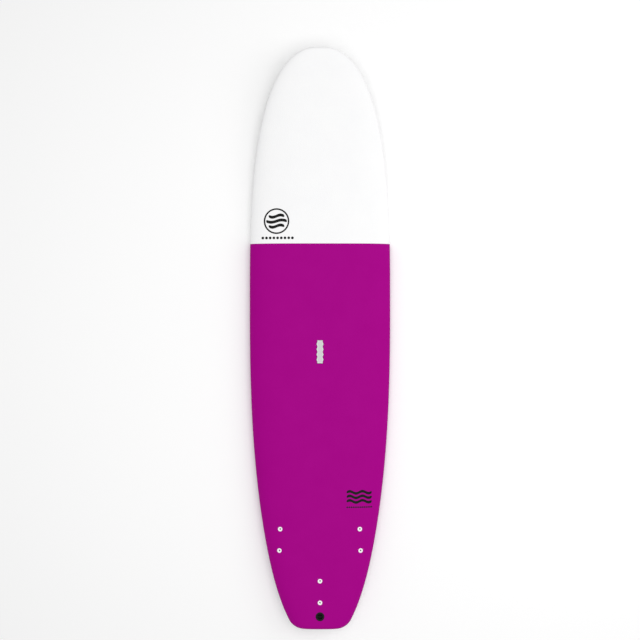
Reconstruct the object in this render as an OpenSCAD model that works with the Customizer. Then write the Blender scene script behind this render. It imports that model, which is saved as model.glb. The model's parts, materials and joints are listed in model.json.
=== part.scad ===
// Soft-top longboard, 8 ft, lying deck up.
// +Y points to the nose, +X to the rider's right and +Z up through the deck. The origin is
// midway between nose and tail, on the centreline, level with the lowest point of the bottom.

/* [Board] */
// Overall length, nose to tail
board_len = 2438; // [2200:1:2600]
// Overall width at the wide point
board_w = 597; // [560:1:640]
// Thickness at the middle
board_t = 80; // [74:1:90]
// How far the wide point lies ahead of the middle
wide_ahead = 162; // [60:1:220]
// Width of the tail block, measured to its sharp corners
tail_block_w = 221; // [190:1:260]
// Corner radius of the tail block, seen from above
tail_corner_r = 34; // [25:1:60]

/* [Rocker and foil] */
// Lift of the nose above the flat spot
nose_rocker = 100; // [70:1:130]
// Lift of the tail above the flat spot
tail_rocker = 56; // [35:1:80]
// Where the bottom starts to rise towards the nose
flat_front = 241; // [100:1:400]
// Where the bottom starts to rise towards the tail
flat_back = -219; // [-400:1:-100]
// Thickness at the nose, before the tip is rounded
nose_t = 37; // [32:1:50]
// Thickness at the tail
tail_t = 40; // [36:1:50]
// Rail radius where it meets the flat bottom, amidships
rail_r_mid = 24; // [18:1:30]
// The same radius at the tail
rail_r_tail = 7; // [7:1:12]

/* [Skins] */
// Thickness of the soft deck skin
deck_skin_t = 5; // [4:0.5:6]
// Thickness of the slick bottom skin
slick_t = 3; // [2.5:0.5:4]
// Thickness of the glass laminate under both skins
laminate_t = 1; // [0.8:0.1:1.5]
// Where the nose colour meets the main colour
border_y = 403; // [300:1:500]

/* [Stringers] */
// Distance of each stringer from the centreline
stringer_x = 50; // [40:1:56]
// Thickness of a stringer
stringer_t = 5; // [3:0.5:8]

/* [Fin plugs] */
// Spacing of the two bolts of one fin
bolt_gap = 90; // [80:1:100]
// Clearance hole of a fin bolt
bolt_hole_d = 6.6; // [6.4:0.1:7]
// Outside of the sleeve round the bolt
sleeve_d = 11; // [10:0.5:12]
// Flange of the sleeve and of the bottom collar
plug_flange_d = 19; // [18:0.5:22]
// Distance of the centre fin from the tail
centre_fin_d = 154; // [145:1:170]
// Distance of each side fin from the tail
side_fin_d = 371; // [350:1:420]
// Distance of each side fin from the centreline
side_fin_x = 169.3; // [160:0.1:175]
// Toe-in of the side fins, in degrees
fin_toe = 2.1; // [0:0.1:4]

/* [Leash plug] */
// Distance of the leash plug from the tail
leash_d = 56; // [50:1:62]
// Flange of the leash cup and its bottom cap
leash_flange_d = 37; // [34:1:40]
// Bore of the leash cup
leash_bore_d = 22; // [20:1:23]
// Leash pin across the cup
leash_pin_d = 4; // [3:0.5:5]

/* [Carry handle] */
// Centre of the handle, ahead of the middle
handle_y = -53; // [-80:1:-30]
// Visible length of the strap
strap_len = 96; // [90:1:110]
// Mean width of the scalloped strap
strap_w = 25.2; // [22:0.1:28]
// Depth of each scallop, from the mean width
scallop = 1.8; // [1:0.1:2.5]
// Pitch of the finger scallops
finger_pitch = 21.8; // [20:0.1:23]
// Depth of the hand tray below the deck
tray_depth = 29; // [26:1:34]

/* [Hidden] */
half_len = board_len/2;
half_w = board_w/2;
nose_run = half_len - wide_ahead;
tail_run = half_len + wide_ahead;
gap = 0.3;

// Powers that shape the outline, foil and section
nose_fullness = 2.85;
nose_roundness = 2.4;
tail_taper_power = 2.68;
tail_pull_power = 13;
tail_pull_share = 0.186;
nose_kick_share = 0.19;
nose_kick_power = 6;
foil_len = 900;
nose_foil_power = 1.7;
tail_foil_power = 1.6;
deck_side_power = 3.8;
deck_crown_power = 2.2;

// Height of the widest point of the rail, as a share of the thickness
apex_mid = 0.42;
apex_nose = 0.5;
apex_tail = 0.2;

// Rounding of the nose tip in side view, and of the tail's upper lip
tip_run = 18;
lip_r = 16;

// Skin build-up: outside of the board, outside of the laminate, outside of the core
side_in = [0, deck_skin_t, deck_skin_t + laminate_t];
deck_in = [0, deck_skin_t, deck_skin_t + laminate_t];
slick_in = [0, slick_t, slick_t + laminate_t];

// Fin bolt holes: name, fin centre from the tail, offset from the centreline, toe, end of the fin
fin_holes = [
    ["left_front", side_fin_d, -side_fin_x, -fin_toe, 1],
    ["left_rear", side_fin_d, -side_fin_x, -fin_toe, -1],
    ["right_front", side_fin_d, side_fin_x, fin_toe, 1],
    ["right_rear", side_fin_d, side_fin_x, fin_toe, -1],
    ["centre_front", centre_fin_d, 0, 0, 1],
    ["centre_rear", centre_fin_d, 0, 0, -1],
];
ends = [["front", 1], ["rear", -1]];

magenta = "#A50688";
white = "#F7F7F5";
pale_grey = "#D2D1D2";
black = "#171717";
foam_white = "#EEEEE8";
wood = "#C8A468";
glass_green = "#DCE4D4";

// ---------- outline, rocker and section as functions of the place along the board ----------

function from_nose(y) = half_len - y;
function from_tail(y) = half_len + y;
function above0(v) = max(v, 0);
function arc_drop(d, r) = d >= r ? 0 : r - sqrt(r*r - (r - d)*(r - d));

// Half width: a superellipse from the tip to the wide point, then two powers down to the tail
function nose_plan(t) = pow(1 - pow(1 - t, nose_fullness), 1/nose_roundness);
function tail_plan(q) = let(loss = 1 - tail_block_w/board_w)
    1 - loss*((1 - tail_pull_share)*pow(q, tail_taper_power) + tail_pull_share*pow(q, tail_pull_power));
function plan_w(y) = y >= wide_ahead
    ? half_w*nose_plan(from_nose(y)/nose_run)
    : half_w*tail_plan((wide_ahead - y)/tail_run) - arc_drop(from_tail(y), tail_corner_r);

// Height of the bottom: flat in the middle, rising as powers towards both ends
function bottom_z(y) =
    let(u = above0((y - flat_front)/(half_len - flat_front)),
        v = above0((flat_back - y)/(half_len + flat_back)))
    nose_rocker*((1 - nose_kick_share)*u*u + nose_kick_share*pow(u, nose_kick_power)) + tail_rocker*v*v;

// Shares from 0 to 1 of the way into the nose foil and the tail foil
function nose_foil(y) = pow(above0(1 - from_nose(y)/foil_len), nose_foil_power);
function tail_foil(y) = pow(above0(1 - from_tail(y)/foil_len), tail_foil_power);
function thick(y) = board_t - (board_t - nose_t)*nose_foil(y) - (board_t - tail_t)*tail_foil(y);
function apex_share(y) =
    apex_mid + (apex_nose - apex_mid)*nose_foil(y) + (apex_tail - apex_mid)*tail_foil(y);
function rail_r(y) = rail_r_mid + (rail_r_tail - rail_r_mid)*tail_foil(y);
function tip_share(y) = let(d = from_nose(y)) d < tip_run ? sqrt(1 - pow(1 - d/tip_run, 2)) : 1;

// Heights of one section: [bottom, widest point of the rail, deck centre]
function heights(y, lv) =
    let(z0 = bottom_z(y), t = thick(y), zm = z0 + apex_share(y)*t, f = tip_share(y),
        low = zm - z0 - slick_in[lv], high = z0 + t - arc_drop(from_tail(y), lip_r) - deck_in[lv] - zm)
    [zm - low*f, zm, zm + high*f];

// Half width of a layer, which narrows less where the board itself is narrow
full_inset_w = 80;
function layer_w(y, lv) = let(w = plan_w(y)) w - side_in[lv]*min(1, w/full_inset_w);
// A layer's sections crowd inwards only near the two ends
end_power = 8;
function layer_y(y, lv) = y - side_in[lv]*sign(y)*pow(abs(y)/half_len, end_power);

// Height of the deck at any point
function deck_z(x, y) = let(h = heights(y, 0), s = min(abs(x)/plan_w(y), 1))
    h[1] + (h[2] - h[1])*pow(1 - pow(s, deck_side_power), 1/deck_crown_power);

// One section, anticlockwise seen from the tail: bottom centre, flat edge, rail, deck, back again
rail_steps = [22.5:22.5:67.5];
deck_steps = [10:10:80];
function section(y, lv) =
    let(w = layer_w(y, lv), h = heights(y, lv), low = h[1] - h[0], high = h[2] - h[1],
        r = max(min(rail_r(y), 0.6*w) - side_in[lv], min(1, 0.1*w)),
        right = concat(
            [[w - r, h[0]]],
            [for (a = rail_steps) [w - r + r*sin(a), h[1] - low*cos(a)]],
            [[w, h[1]]],
            [for (a = deck_steps)
                [w*pow(cos(a), 2/deck_side_power), h[1] + high*pow(sin(a), 2/deck_crown_power)]]))
    concat([[0, h[0]]], right, [[0, h[2]]],
        [for (k = [len(right) - 1:-1:0]) [-right[k].x, right[k].y]]);
ring = len(section(0, 0));
edge_r = 1;
edge_l = ring - 1;

// Stations from nose to tail: crowded at the tip, even along the body, crowded at the tail block
nose_steps = 22;
body_steps = 13;
block_steps = 8;
block_run = 100;
nose_ys = [for (i = [1:nose_steps]) half_len - nose_run*pow(i/nose_steps, 3)];
stations = concat(
    [for (y = nose_ys) if (y > border_y) y],
    [border_y],
    [for (y = nose_ys) if (y < border_y) y],
    [for (i = [1:body_steps]) wide_ahead - i*(tail_run - block_run)/body_steps],
    [for (i = [1:block_steps]) -half_len + block_run*pow(1 - i/block_steps, 2)]);
last = len(stations) - 1;
border = len([for (y = nose_ys) if (y > border_y) y]);
level_size = ring*len(stations);

function level_points(lv) =
    [for (y = stations) for (p = section(y, lv)) [p.x, layer_y(y, lv), p.y]];

// ---------- triangles of a layer ----------

function at(i, k) = i*ring + k % ring;
function flip(tris) = [for (t = tris) [t[0], t[2], t[1]]];
function deeper(tris) = [for (t = tris) t + [level_size, level_size, level_size]];

// Outer surface between columns k0 and k1 and stations i0 and i1, the same on the left as on the right
function patch(i0, i1, k0, k1) =
    [for (i = [i0:i1 - 1]) for (k = [k0:k1 - 1])
        let(a = at(i, k), b = at(i, k + 1), c = at(i + 1, k + 1), d = at(i + 1, k))
        for (t = k % ring < ring/2 ? [[a, d, c], [a, c, b]] : [[a, d, b], [d, c, b]]) t];
function front_cap(i) = [for (k = [1:ring - 2]) [at(i, 0), at(i, k), at(i, k + 1)]];

// The wall that joins the outer level to the inner one along the edge from a to b
function wall(a, b) = [[a, b, b + level_size], [a, b + level_size, a + level_size]];
function edge_wall(i0, i1, k) = [for (i = [i0:i1 - 1]) for (t = wall(at(i, k), at(i + 1, k))) t];
function end_wall(i, k0, k1) = [for (k = [k0:k1 - 1]) for (t = wall(at(i, k), at(i, k + 1))) t];

// A layer between two levels. A closed end has the whole end of the board; k0 to k1 are the columns
module layer(lv, i0, i1, k0, k1, front_closed, back_closed) {
    front = front_closed ? front_cap(i0) : [];
    back = back_closed ? flip(front_cap(i1)) : [];
    outer = concat(patch(i0, i1, k0, k1), front, back);
    // columns of the end's edge that this layer's wall closes
    f = front_closed ? [k1, k0 + ring] : [k0, k1];
    b = back_closed ? [k1, k0 + ring] : [k0, k1];
    front_wall = end_wall(i0, f[0], f[1]);
    back_wall = end_wall(i1, b[0], b[1]);
    walls = concat(
        flip(edge_wall(i0, i1, k0)),
        edge_wall(i0, i1, k1),
        front_closed ? flip(front_wall) : front_wall,
        back_closed ? back_wall : flip(back_wall));
    polyhedron(concat(level_points(lv), level_points(lv + 1)), concat(outer, flip(deeper(outer)), walls));
}
module deck_layer(lv, i0, i1) layer(lv, i0, i1, edge_r, edge_l, i0 == 0, i1 == last);
module bottom_layer(lv) layer(lv, 0, last, edge_l, edge_r + ring, false, false);
module core_block() polyhedron(
    level_points(2),
    concat(patch(0, last, 0, ring), front_cap(0), flip(front_cap(last))));

// ---------- places of the hardware ----------

slope_step = 2;
function deck_slope(x, y) = [
    (deck_z(x + slope_step, y) - deck_z(x - slope_step, y))/(2*slope_step),
    (deck_z(x, y + slope_step) - deck_z(x, y - slope_step))/(2*slope_step)];
function bottom_slope(y) = (bottom_z(y + slope_step) - bottom_z(y - slope_step))/(2*slope_step);

// Turn +Z to the outward normal of the deck, or to the inward normal of the bottom
module deck_frame(x, y) {
    s = deck_slope(x, y);
    translate([x, y, deck_z(x, y)])
        rotate([asin(s.y/norm([s.x, s.y, 1])), atan(-s.x), 0])
            children();
}
module bottom_frame(y) translate([0, y, bottom_z(y)]) rotate([atan(bottom_slope(y)), 0, 0]) children();

// Where bolt hole h starts on the bottom, and the unit vector up along it
function hole_y0(h) = h[1] - half_len;
function hole_up(h) = let(a = atan(bottom_slope(hole_y0(h)))) [0, -sin(a), cos(a)];
function hole_foot(h) =
    let(a = atan(bottom_slope(hole_y0(h))), d = h[4]*bolt_gap/2)
    [h[2] - d*sin(h[3]), hole_y0(h) + d*cos(h[3])*cos(a), bottom_z(hole_y0(h)) + d*cos(h[3])*sin(a)];
// Length of the hole up to the deck, closing in on it step by step
function hole_len(h, n = 5, l = 60) = n == 0 ? l :
    let(p = hole_foot(h), u = hole_up(h))
    hole_len(h, n - 1, (deck_z(p.x + u.x*l, p.y + u.y*l) - p.z)/u.z);
function hole_head(h) = hole_foot(h) + hole_len(h)*hole_up(h);
module along_hole(h) translate(hole_foot(h)) rotate([atan(bottom_slope(hole_y0(h))), 0, 0]) children();

flange_t = 2;
collar_flange_t = 1.8;
collar_len = 14;
collar_d = 15;
sleeve_start = 0.5;
far = 6;

// Everything that a fin bolt hole takes out of the board
module hole_void(h) {
    along_hole(h) {
        translate([0, 0, -far]) cylinder(d = collar_d + 2*gap, h = far + collar_len + gap, $fn = 48);
        translate([0, 0, -far]) cylinder(d = plug_flange_d + 2*gap, h = far + collar_flange_t, $fn = 48);
        cylinder(d = sleeve_d + 2*gap, h = hole_len(h) + far, $fn = 48);
    }
    deck_frame(hole_head(h).x, hole_head(h).y)
        translate([0, 0, -flange_t]) cylinder(d = plug_flange_d + 2*gap, h = flange_t + far, $fn = 48);
}
module fin_voids() for (h = fin_holes) hole_void(h);

leash_y = leash_d - half_len;
cup_d = 28;
cup_len = 18;
cup_bore_len = 16;
cup_flange_t = 2.5;
cup_pin_drop = 6;
spigot_d = 16;
spigot_len = 14;
cap_stem_d = 10;
cap_stem_top = -cup_len - 4;
leash_t = thick(leash_y);
module cup_frame() deck_frame(0, leash_y) children();
// The cap sits where the cup's axis comes out of the bottom
cap_y = leash_y + leash_t*sin(atan(deck_slope(0, leash_y).y));
module cap_frame() bottom_frame(cap_y) children();
module leash_void() {
    cup_frame() {
        translate([0, 0, -cup_len - gap]) cylinder(d = cup_d + 2*gap, h = cup_len + far, $fn = 64);
        translate([0, 0, -cup_flange_t])
            cylinder(d = leash_flange_d + 2*gap, h = cup_flange_t + far, $fn = 64);
        translate([0, 0, -leash_t - far]) cylinder(d = spigot_d + 2*gap, h = leash_t, $fn = 48);
    }
    cap_frame() translate([0, 0, -far])
        cylinder(d = leash_flange_d + 2*gap, h = far + cup_flange_t, $fn = 64);
}

// ---------- carry handle, drawn about its own centre with z = 0 at the deck ----------

strap_t = deck_skin_t - gap;
strap_gap = 1.2;
tab_t = 3;
tab_w = 20;
tray_wall = 2;
tray_in_w = 38;
tray_cavity_l = 93;
tray_l = 120;
tray_corner_r = 9;
ledge_drop = 9;
rivet_d = 5;
rivet_head_d = 9;
rivet_y = 52.5;
rivet_len = 10;
rivet_head_t = 0.7;
skin_clear = 0.1;
rivet_hole_len = rivet_len + 2;
tab_l = 13;
grip_half_l = 43.4;
handle_deck = board_t;
handle_wide = 2*(strap_w/2 + scallop);

module at_handle() translate([0, handle_y, handle_deck]) children();

// Half width of the strap: a cosine with lobes half a pitch either side of the centre
function strap_half(y) = strap_w/2 + scallop*cos(360*(y - finger_pitch/2)/finger_pitch);
module strap_plan(y0, y1, extra = 0) {
    steps = ceil((y1 - y0)/2);
    ys = [for (i = [0:steps]) y0 + (y1 - y0)*i/steps];
    polygon(concat(
        [for (y = ys) [strap_half(y) + extra, y]],
        [for (i = [steps:-1:0]) [-strap_half(ys[i]) - extra, ys[i]]]));
}
// A rectangle with true arc corners
module round_plan(w, l, r) {
    square([w - 2*r, l], center = true);
    square([w, l - 2*r], center = true);
    for (x = [-1, 1]) for (y = [-1, 1])
        translate([x*(w/2 - r), y*(l/2 - r)]) circle(r = r, $fn = 48);
}
module strap_void() at_handle()
    translate([0, 0, -deck_skin_t - far]) linear_extrude(deck_skin_t + 2*far)
        strap_plan(-strap_len/2 - strap_gap, strap_len/2 + strap_gap, strap_gap);
module tray_void() at_handle()
    translate([0, 0, -tray_depth - gap]) linear_extrude(tray_depth + gap - deck_skin_t)
        round_plan(tray_in_w + 2*tray_wall + 2*gap, tray_l + 2*gap, tray_corner_r + gap);

// ---------- pieces of the board ----------

module core_slab(x0, x1) color(foam_white) difference() {
    intersection() {
        core_block();
        translate([x0, -board_len, -far]) cube([x1 - x0, 2*board_len, 3*board_t]);
    }
    fin_voids();
    leash_void();
    tray_void();
}
inner_x = stringer_x - stringer_t/2;
outer_x = stringer_x + stringer_t/2;
module core_left() core_slab(-board_w, -outer_x);
module core_centre() core_slab(-inner_x, inner_x);
module core_right() core_slab(outer_x, board_w);
module stringer(side) color(wood) intersection() {
    core_block();
    translate([side*stringer_x - stringer_t/2, -board_len, -far])
        cube([stringer_t, 2*board_len, 3*board_t]);
}

module deck_laminate() color(glass_green) difference() {
    deck_layer(1, 0, last);
    fin_voids();
    leash_void();
    tray_void();
}
module bottom_laminate() color(glass_green) difference() {
    bottom_layer(1);
    fin_voids();
    leash_void();
}
module nose_skin() color(white) deck_layer(0, 0, border);
module main_skin() color(magenta) difference() {
    deck_layer(0, border, last);
    fin_voids();
    leash_void();
    strap_void();
}
module bottom_slick() color(white) difference() {
    bottom_layer(0);
    fin_voids();
    leash_void();
}

// ---------- fin plugs ----------

// Sleeve through the board, with a flange that lies flush in the deck skin
module fin_sleeve(h) color(white) difference() {
    union() {
        along_hole(h) translate([0, 0, sleeve_start])
            cylinder(d = sleeve_d, h = hole_len(h) - sleeve_start - flange_t/2, $fn = 48);
        deck_frame(hole_head(h).x, hole_head(h).y)
            translate([0, 0, -flange_t]) cylinder(d = plug_flange_d, h = flange_t + gap, $fn = 48);
    }
    along_hole(h) translate([0, 0, -far]) cylinder(d = bolt_hole_d, h = hole_len(h) + 2*far, $fn = 48);
}
// Collar that backs the sleeve in the bottom skin
module fin_collar(h) color(white) along_hole(h) difference() {
    union() {
        cylinder(d = collar_d, h = collar_len, $fn = 48);
        cylinder(d = plug_flange_d, h = collar_flange_t, $fn = 48);
    }
    translate([0, 0, -far]) cylinder(d = sleeve_d + 2*gap, h = collar_len + 2*far, $fn = 48);
}

// ---------- leash plug ----------

module pin_rod() translate([0, 0, -cup_pin_drop]) rotate([0, 90, 0])
    cylinder(d = leash_pin_d, h = cup_d - 2, center = true, $fn = 32);
module leash_cup() color(black) cup_frame() difference() {
    union() {
        translate([0, 0, -cup_len]) cylinder(d = cup_d, h = cup_len, $fn = 64);
        translate([0, 0, -cup_flange_t]) cylinder(d = leash_flange_d, h = cup_flange_t + gap, $fn = 64);
        translate([0, 0, -cup_len - spigot_len]) cylinder(d = spigot_d, h = spigot_len, $fn = 48);
    }
    translate([0, 0, -cup_bore_len]) cylinder(d = leash_bore_d, h = cup_bore_len + far, $fn = 64);
    translate([0, 0, -cup_len - spigot_len - far])
        cylinder(d = cap_stem_d + 2*gap, h = spigot_len + far, $fn = 48);
    pin_rod();
}
module leash_pin() color(black) cup_frame() pin_rod();
// Cap under the board, whose stem goes up into the cup's spigot
module leash_cap() color(black) {
    cap_frame() cylinder(d = leash_flange_d, h = cup_flange_t, $fn = 64);
    cup_frame() translate([0, 0, -leash_t + cup_flange_t/2])
        cylinder(d = cap_stem_d, h = cap_stem_top + leash_t - cup_flange_t/2, $fn = 48);
}

// ---------- carry handle ----------

// Hand tray under the strap: a cavity between two ledges that hold the strap's ends
module handle_tray() color(pale_grey) at_handle() difference() {
    translate([0, 0, -tray_depth]) linear_extrude(tray_depth - deck_skin_t - skin_clear)
        round_plan(tray_in_w + 2*tray_wall, tray_l, tray_corner_r);
    translate([0, 0, -tray_depth + tray_wall]) linear_extrude(tray_depth)
        round_plan(tray_in_w, tray_cavity_l, tray_corner_r - tray_wall);
    translate([0, 0, -ledge_drop]) linear_extrude(ledge_drop)
        round_plan(tray_in_w, tray_l - 2*tray_wall, tray_corner_r - tray_wall);
    for (e = ends) translate([0, e[1]*rivet_y, -ledge_drop - rivet_hole_len])
        cylinder(d = rivet_d, h = rivet_hole_len + far, $fn = 32);
}
// The stretch of the strap that lifts when it is pulled
module handle_grip() color(pale_grey) at_handle() translate([0, 0, -strap_t])
    linear_extrude(strap_t) strap_plan(-grip_half_l, grip_half_l);
// One end of the strap: its visible lip, and the tab under the skin that the rivet holds
module strap_end(e) color(pale_grey) at_handle() mirror([0, e[1] < 0 ? 1 : 0, 0]) difference() {
    union() {
        translate([0, 0, -ledge_drop]) linear_extrude(ledge_drop)
            translate([-tab_w/2, grip_half_l + gap]) square([tab_w, strap_len/2 - grip_half_l - gap]);
        translate([0, 0, -strap_t]) linear_extrude(strap_t) strap_plan(grip_half_l + gap, strap_len/2);
        translate([0, 0, -ledge_drop]) linear_extrude(tab_t)
            translate([-tab_w/2, grip_half_l + gap]) square([tab_w, tab_l]);
    }
    translate([0, rivet_y, -ledge_drop - 1]) cylinder(d = rivet_d, h = tab_t + 2, $fn = 32);
}
module strap_rivet(e) color(black) at_handle() translate([0, e[1]*rivet_y, 0]) {
    translate([0, 0, -ledge_drop - rivet_len]) cylinder(d = rivet_d, h = rivet_len + tab_t, $fn = 32);
    translate([0, 0, -ledge_drop + tab_t])
        cylinder(d1 = rivet_head_d, d2 = rivet_head_d - 3, h = rivet_head_t, $fn = 32);
}

core_left();
core_centre();
core_right();
stringer(-1);  // stringer_left
stringer(1);  // stringer_right
deck_laminate();
bottom_laminate();
nose_skin();
main_skin();
bottom_slick();
for (h = fin_holes) {
    fin_sleeve(h);
    fin_collar(h);
}
leash_cup();
leash_pin();
leash_cap();
handle_tray();
handle_grip();
for (e = ends) {
    strap_end(e);
    strap_rivet(e);
}
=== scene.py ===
import json

import bmesh
import bpy
import numpy as np
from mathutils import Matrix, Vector


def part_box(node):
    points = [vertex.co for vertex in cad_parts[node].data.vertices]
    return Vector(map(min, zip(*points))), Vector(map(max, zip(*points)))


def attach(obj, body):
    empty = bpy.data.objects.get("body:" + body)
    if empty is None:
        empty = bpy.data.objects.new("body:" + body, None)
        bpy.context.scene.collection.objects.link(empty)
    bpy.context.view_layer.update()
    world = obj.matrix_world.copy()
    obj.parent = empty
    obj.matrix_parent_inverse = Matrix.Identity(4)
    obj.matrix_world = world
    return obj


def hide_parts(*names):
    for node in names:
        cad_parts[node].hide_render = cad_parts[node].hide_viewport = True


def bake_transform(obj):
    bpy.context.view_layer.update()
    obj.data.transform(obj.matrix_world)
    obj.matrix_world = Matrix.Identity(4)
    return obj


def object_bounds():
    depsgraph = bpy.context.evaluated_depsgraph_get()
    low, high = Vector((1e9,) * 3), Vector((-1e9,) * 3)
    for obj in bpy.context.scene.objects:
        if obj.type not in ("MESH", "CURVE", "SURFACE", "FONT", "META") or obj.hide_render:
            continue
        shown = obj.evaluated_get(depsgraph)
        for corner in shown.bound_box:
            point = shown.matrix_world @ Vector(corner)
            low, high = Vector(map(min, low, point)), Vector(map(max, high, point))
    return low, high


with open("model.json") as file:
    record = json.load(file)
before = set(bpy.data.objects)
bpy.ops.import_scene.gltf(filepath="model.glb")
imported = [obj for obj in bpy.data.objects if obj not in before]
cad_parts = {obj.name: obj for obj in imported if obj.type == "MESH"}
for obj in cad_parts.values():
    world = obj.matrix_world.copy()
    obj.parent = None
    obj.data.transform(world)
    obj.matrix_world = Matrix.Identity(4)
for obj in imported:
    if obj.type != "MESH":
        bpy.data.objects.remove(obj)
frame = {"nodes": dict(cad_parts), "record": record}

cad_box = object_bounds()

# ---------------------------------------------------------------------------------------------
# Camera, floor and light
# A board laid on a pale studio floor and seen from straight above through a long lens,
# in flat light from one large overhead sheet and a weaker one on the rider's right.
# ---------------------------------------------------------------------------------------------
camera_height = 4.2
camera_ahead = 0.081
lens_mm = 55.1
camera = bpy.data.objects.new("camera", bpy.data.cameras.new("camera"))
camera.location = (0.0, camera_ahead, camera_height)
camera.data.lens = lens_mm
camera.data.sensor_width = 36.0
bpy.context.scene.collection.objects.link(camera)
bpy.context.scene.camera = camera
bpy.context.scene.view_settings.view_transform = "Standard"


def linear(hex_colour):
    """Linear RGBA of an sRGB hex colour such as "A50688"."""
    c = np.array([int(hex_colour[i:i + 2], 16) for i in (0, 2, 4)]) / 255
    c = np.where(c <= 0.04045, c / 12.92, ((c + 0.055) / 1.055) ** 2.4)
    return (*c.tolist(), 1.0)


def add(tree, kind, *sockets, **settings):
    """Add a node whose properties are the settings.

    Each socket is (its name or number, a value or an output to link).
    """
    made = tree.nodes.new(kind)
    for key, value in settings.items():
        setattr(made, key, value)
    for key, value in sockets:
        if isinstance(value, bpy.types.NodeSocket):
            tree.links.new(value, made.inputs[key])
        else:
            made.inputs[key].default_value = value
    return made


def new_material(name, **shader):
    """A material with one Principled shader. Its constant sockets are given by name, with _ for a space."""
    made = bpy.data.materials.new(name)
    made.use_nodes = True
    tree = made.node_tree
    tree.nodes.clear()
    surface = add(tree, "ShaderNodeBsdfPrincipled", *[(k.replace("_", " "), v) for k, v in shader.items()])
    add(tree, "ShaderNodeOutputMaterial", ("Surface", surface.outputs[0]))
    place = add(tree, "ShaderNodeTexCoord").outputs["Object"]
    return made, tree, surface, place


floor_half = 7.0
floor_mesh = bpy.data.meshes.new("floor")
floor_corners = [(x * floor_half, y * floor_half, 0) for x, y in ((-1, -1), (1, -1), (1, 1), (-1, 1))]
floor_mesh.from_pydata(floor_corners, [], [(0, 1, 2, 3)])
floor = bpy.data.objects.new("floor", floor_mesh)
floor.location = (0, 0, cad_box[0].z - 0.0005)
bpy.context.scene.collection.objects.link(floor)
# Matt studio floor paint: nearly white, no gloss
floor_paint = new_material("studio_floor_paint", Base_Color=linear("FEFEFE"), Roughness=0.95,
                           Specular_IOR_Level=0.0)[0]
floor_mesh.materials.append(floor_paint)


def softbox(name, place, size, watts):
    """A square area light of that size and power at place, facing the middle of the board."""
    lamp = bpy.data.lights.new(name, "AREA")
    lamp.shape = "SQUARE"
    lamp.size = size
    lamp.energy = watts
    made = bpy.data.objects.new(name, lamp)
    made.location = place
    made.rotation_mode = "QUATERNION"
    made.rotation_quaternion = (-Vector(place)).to_track_quat("-Z", "Y")
    bpy.context.scene.collection.objects.link(made)


softbox("overhead_sheet", (0.4, 0.1, 4.4), 4.5, 105)
softbox("right_fill", (3.4, 0.6, 2.4), 2.4, 26)
world = bpy.data.worlds.new("studio_air")
bpy.context.scene.world = world
world.use_nodes = True
air = world.node_tree.nodes["Background"]
air.inputs["Color"].default_value = (1.0, 1.0, 1.0, 1.0)
air.inputs["Strength"].default_value = 0.55

# ---------------------------------------------------------------------------------------------
# The shaped blank
# Polystyrene foam cut to outline, rocker and section, with two pine stringers, wrapped in glass
# cloth. Every skin is this one shape at its own depth, so the pieces meet without gaps. The core,
# the stringers and the cloth keep the shape of the solid model and stay out of sight.
# ---------------------------------------------------------------------------------------------
half_len = -cad_box[0].y
half_wide = cad_box[1].x
wide_ahead = 0.162
tail_block, tail_corner = 0.221, 0.034
nose_rocker, tail_rocker = 0.100, 0.056
flat_front, flat_back = 0.241, -0.219
thick_mid, thick_nose, thick_tail = 0.080, 0.037, 0.040
rail_mid, rail_tail = 0.024, 0.007
foil_len, tip_run, lip_r = 0.9, 0.018, 0.016
# Shares of the thickness at which the section is widest
widest_mid, widest_nose, widest_tail = 0.42, 0.50, 0.20
deck_side, deck_crown = 3.8, 2.2
# The skins thin out where the half width is under full_skin_w, and the rail takes at most rail_share of it
full_skin_w, rail_share = 0.08, 0.6


def arc_drop(d, r):
    """Drop of a quarter circle of radius r at distance d from its end.

    It is r less the root of r squared less (r - d) squared, and nothing past r.
    """
    e = np.clip(r - d, 0, r)
    return r - np.sqrt(r * r - e * e)


def outline(y):
    """Half width at y, less the round of the tail's corners.

    A superellipse from the tip to the wide point, then two powers of the way back to the tail block.
    """
    t = np.clip((half_len - y) / (half_len - wide_ahead), 0, 1)
    q = np.clip((wide_ahead - y) / (half_len + wide_ahead), 0, 1)
    loss = 1 - tail_block / (2 * half_wide)
    nose = (1 - (1 - t) ** 2.85) ** (1 / 2.4)
    tail = 1 - loss * (0.814 * q ** 2.68 + 0.186 * q ** 13)
    return half_wide * np.where(y >= wide_ahead, nose, tail) - arc_drop(half_len + y, tail_corner)


def rocker(y):
    """Height of the bottom: flat amidships, a square towards each end, a sixth power at the very nose."""
    u = np.clip((y - flat_front) / (half_len - flat_front), 0, 1)
    v = np.clip((flat_back - y) / (half_len + flat_back), 0, 1)
    return nose_rocker * (0.81 * u ** 2 + 0.19 * u ** 6) + tail_rocker * v ** 2


def foils(y):
    """Shares from 0 to 1 of the way into the thin nose and into the thin tail, as powers."""
    return (np.clip(1 - (half_len - y) / foil_len, 0, 1) ** 1.7,
            np.clip(1 - (half_len + y) / foil_len, 0, 1) ** 1.6)


def thickness(y):
    """Thickness at the centreline: the middle's, less a share of the difference to each end's."""
    nose, tail = foils(y)
    return thick_mid - (thick_mid - thick_nose) * nose - (thick_mid - thick_tail) * tail


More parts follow.
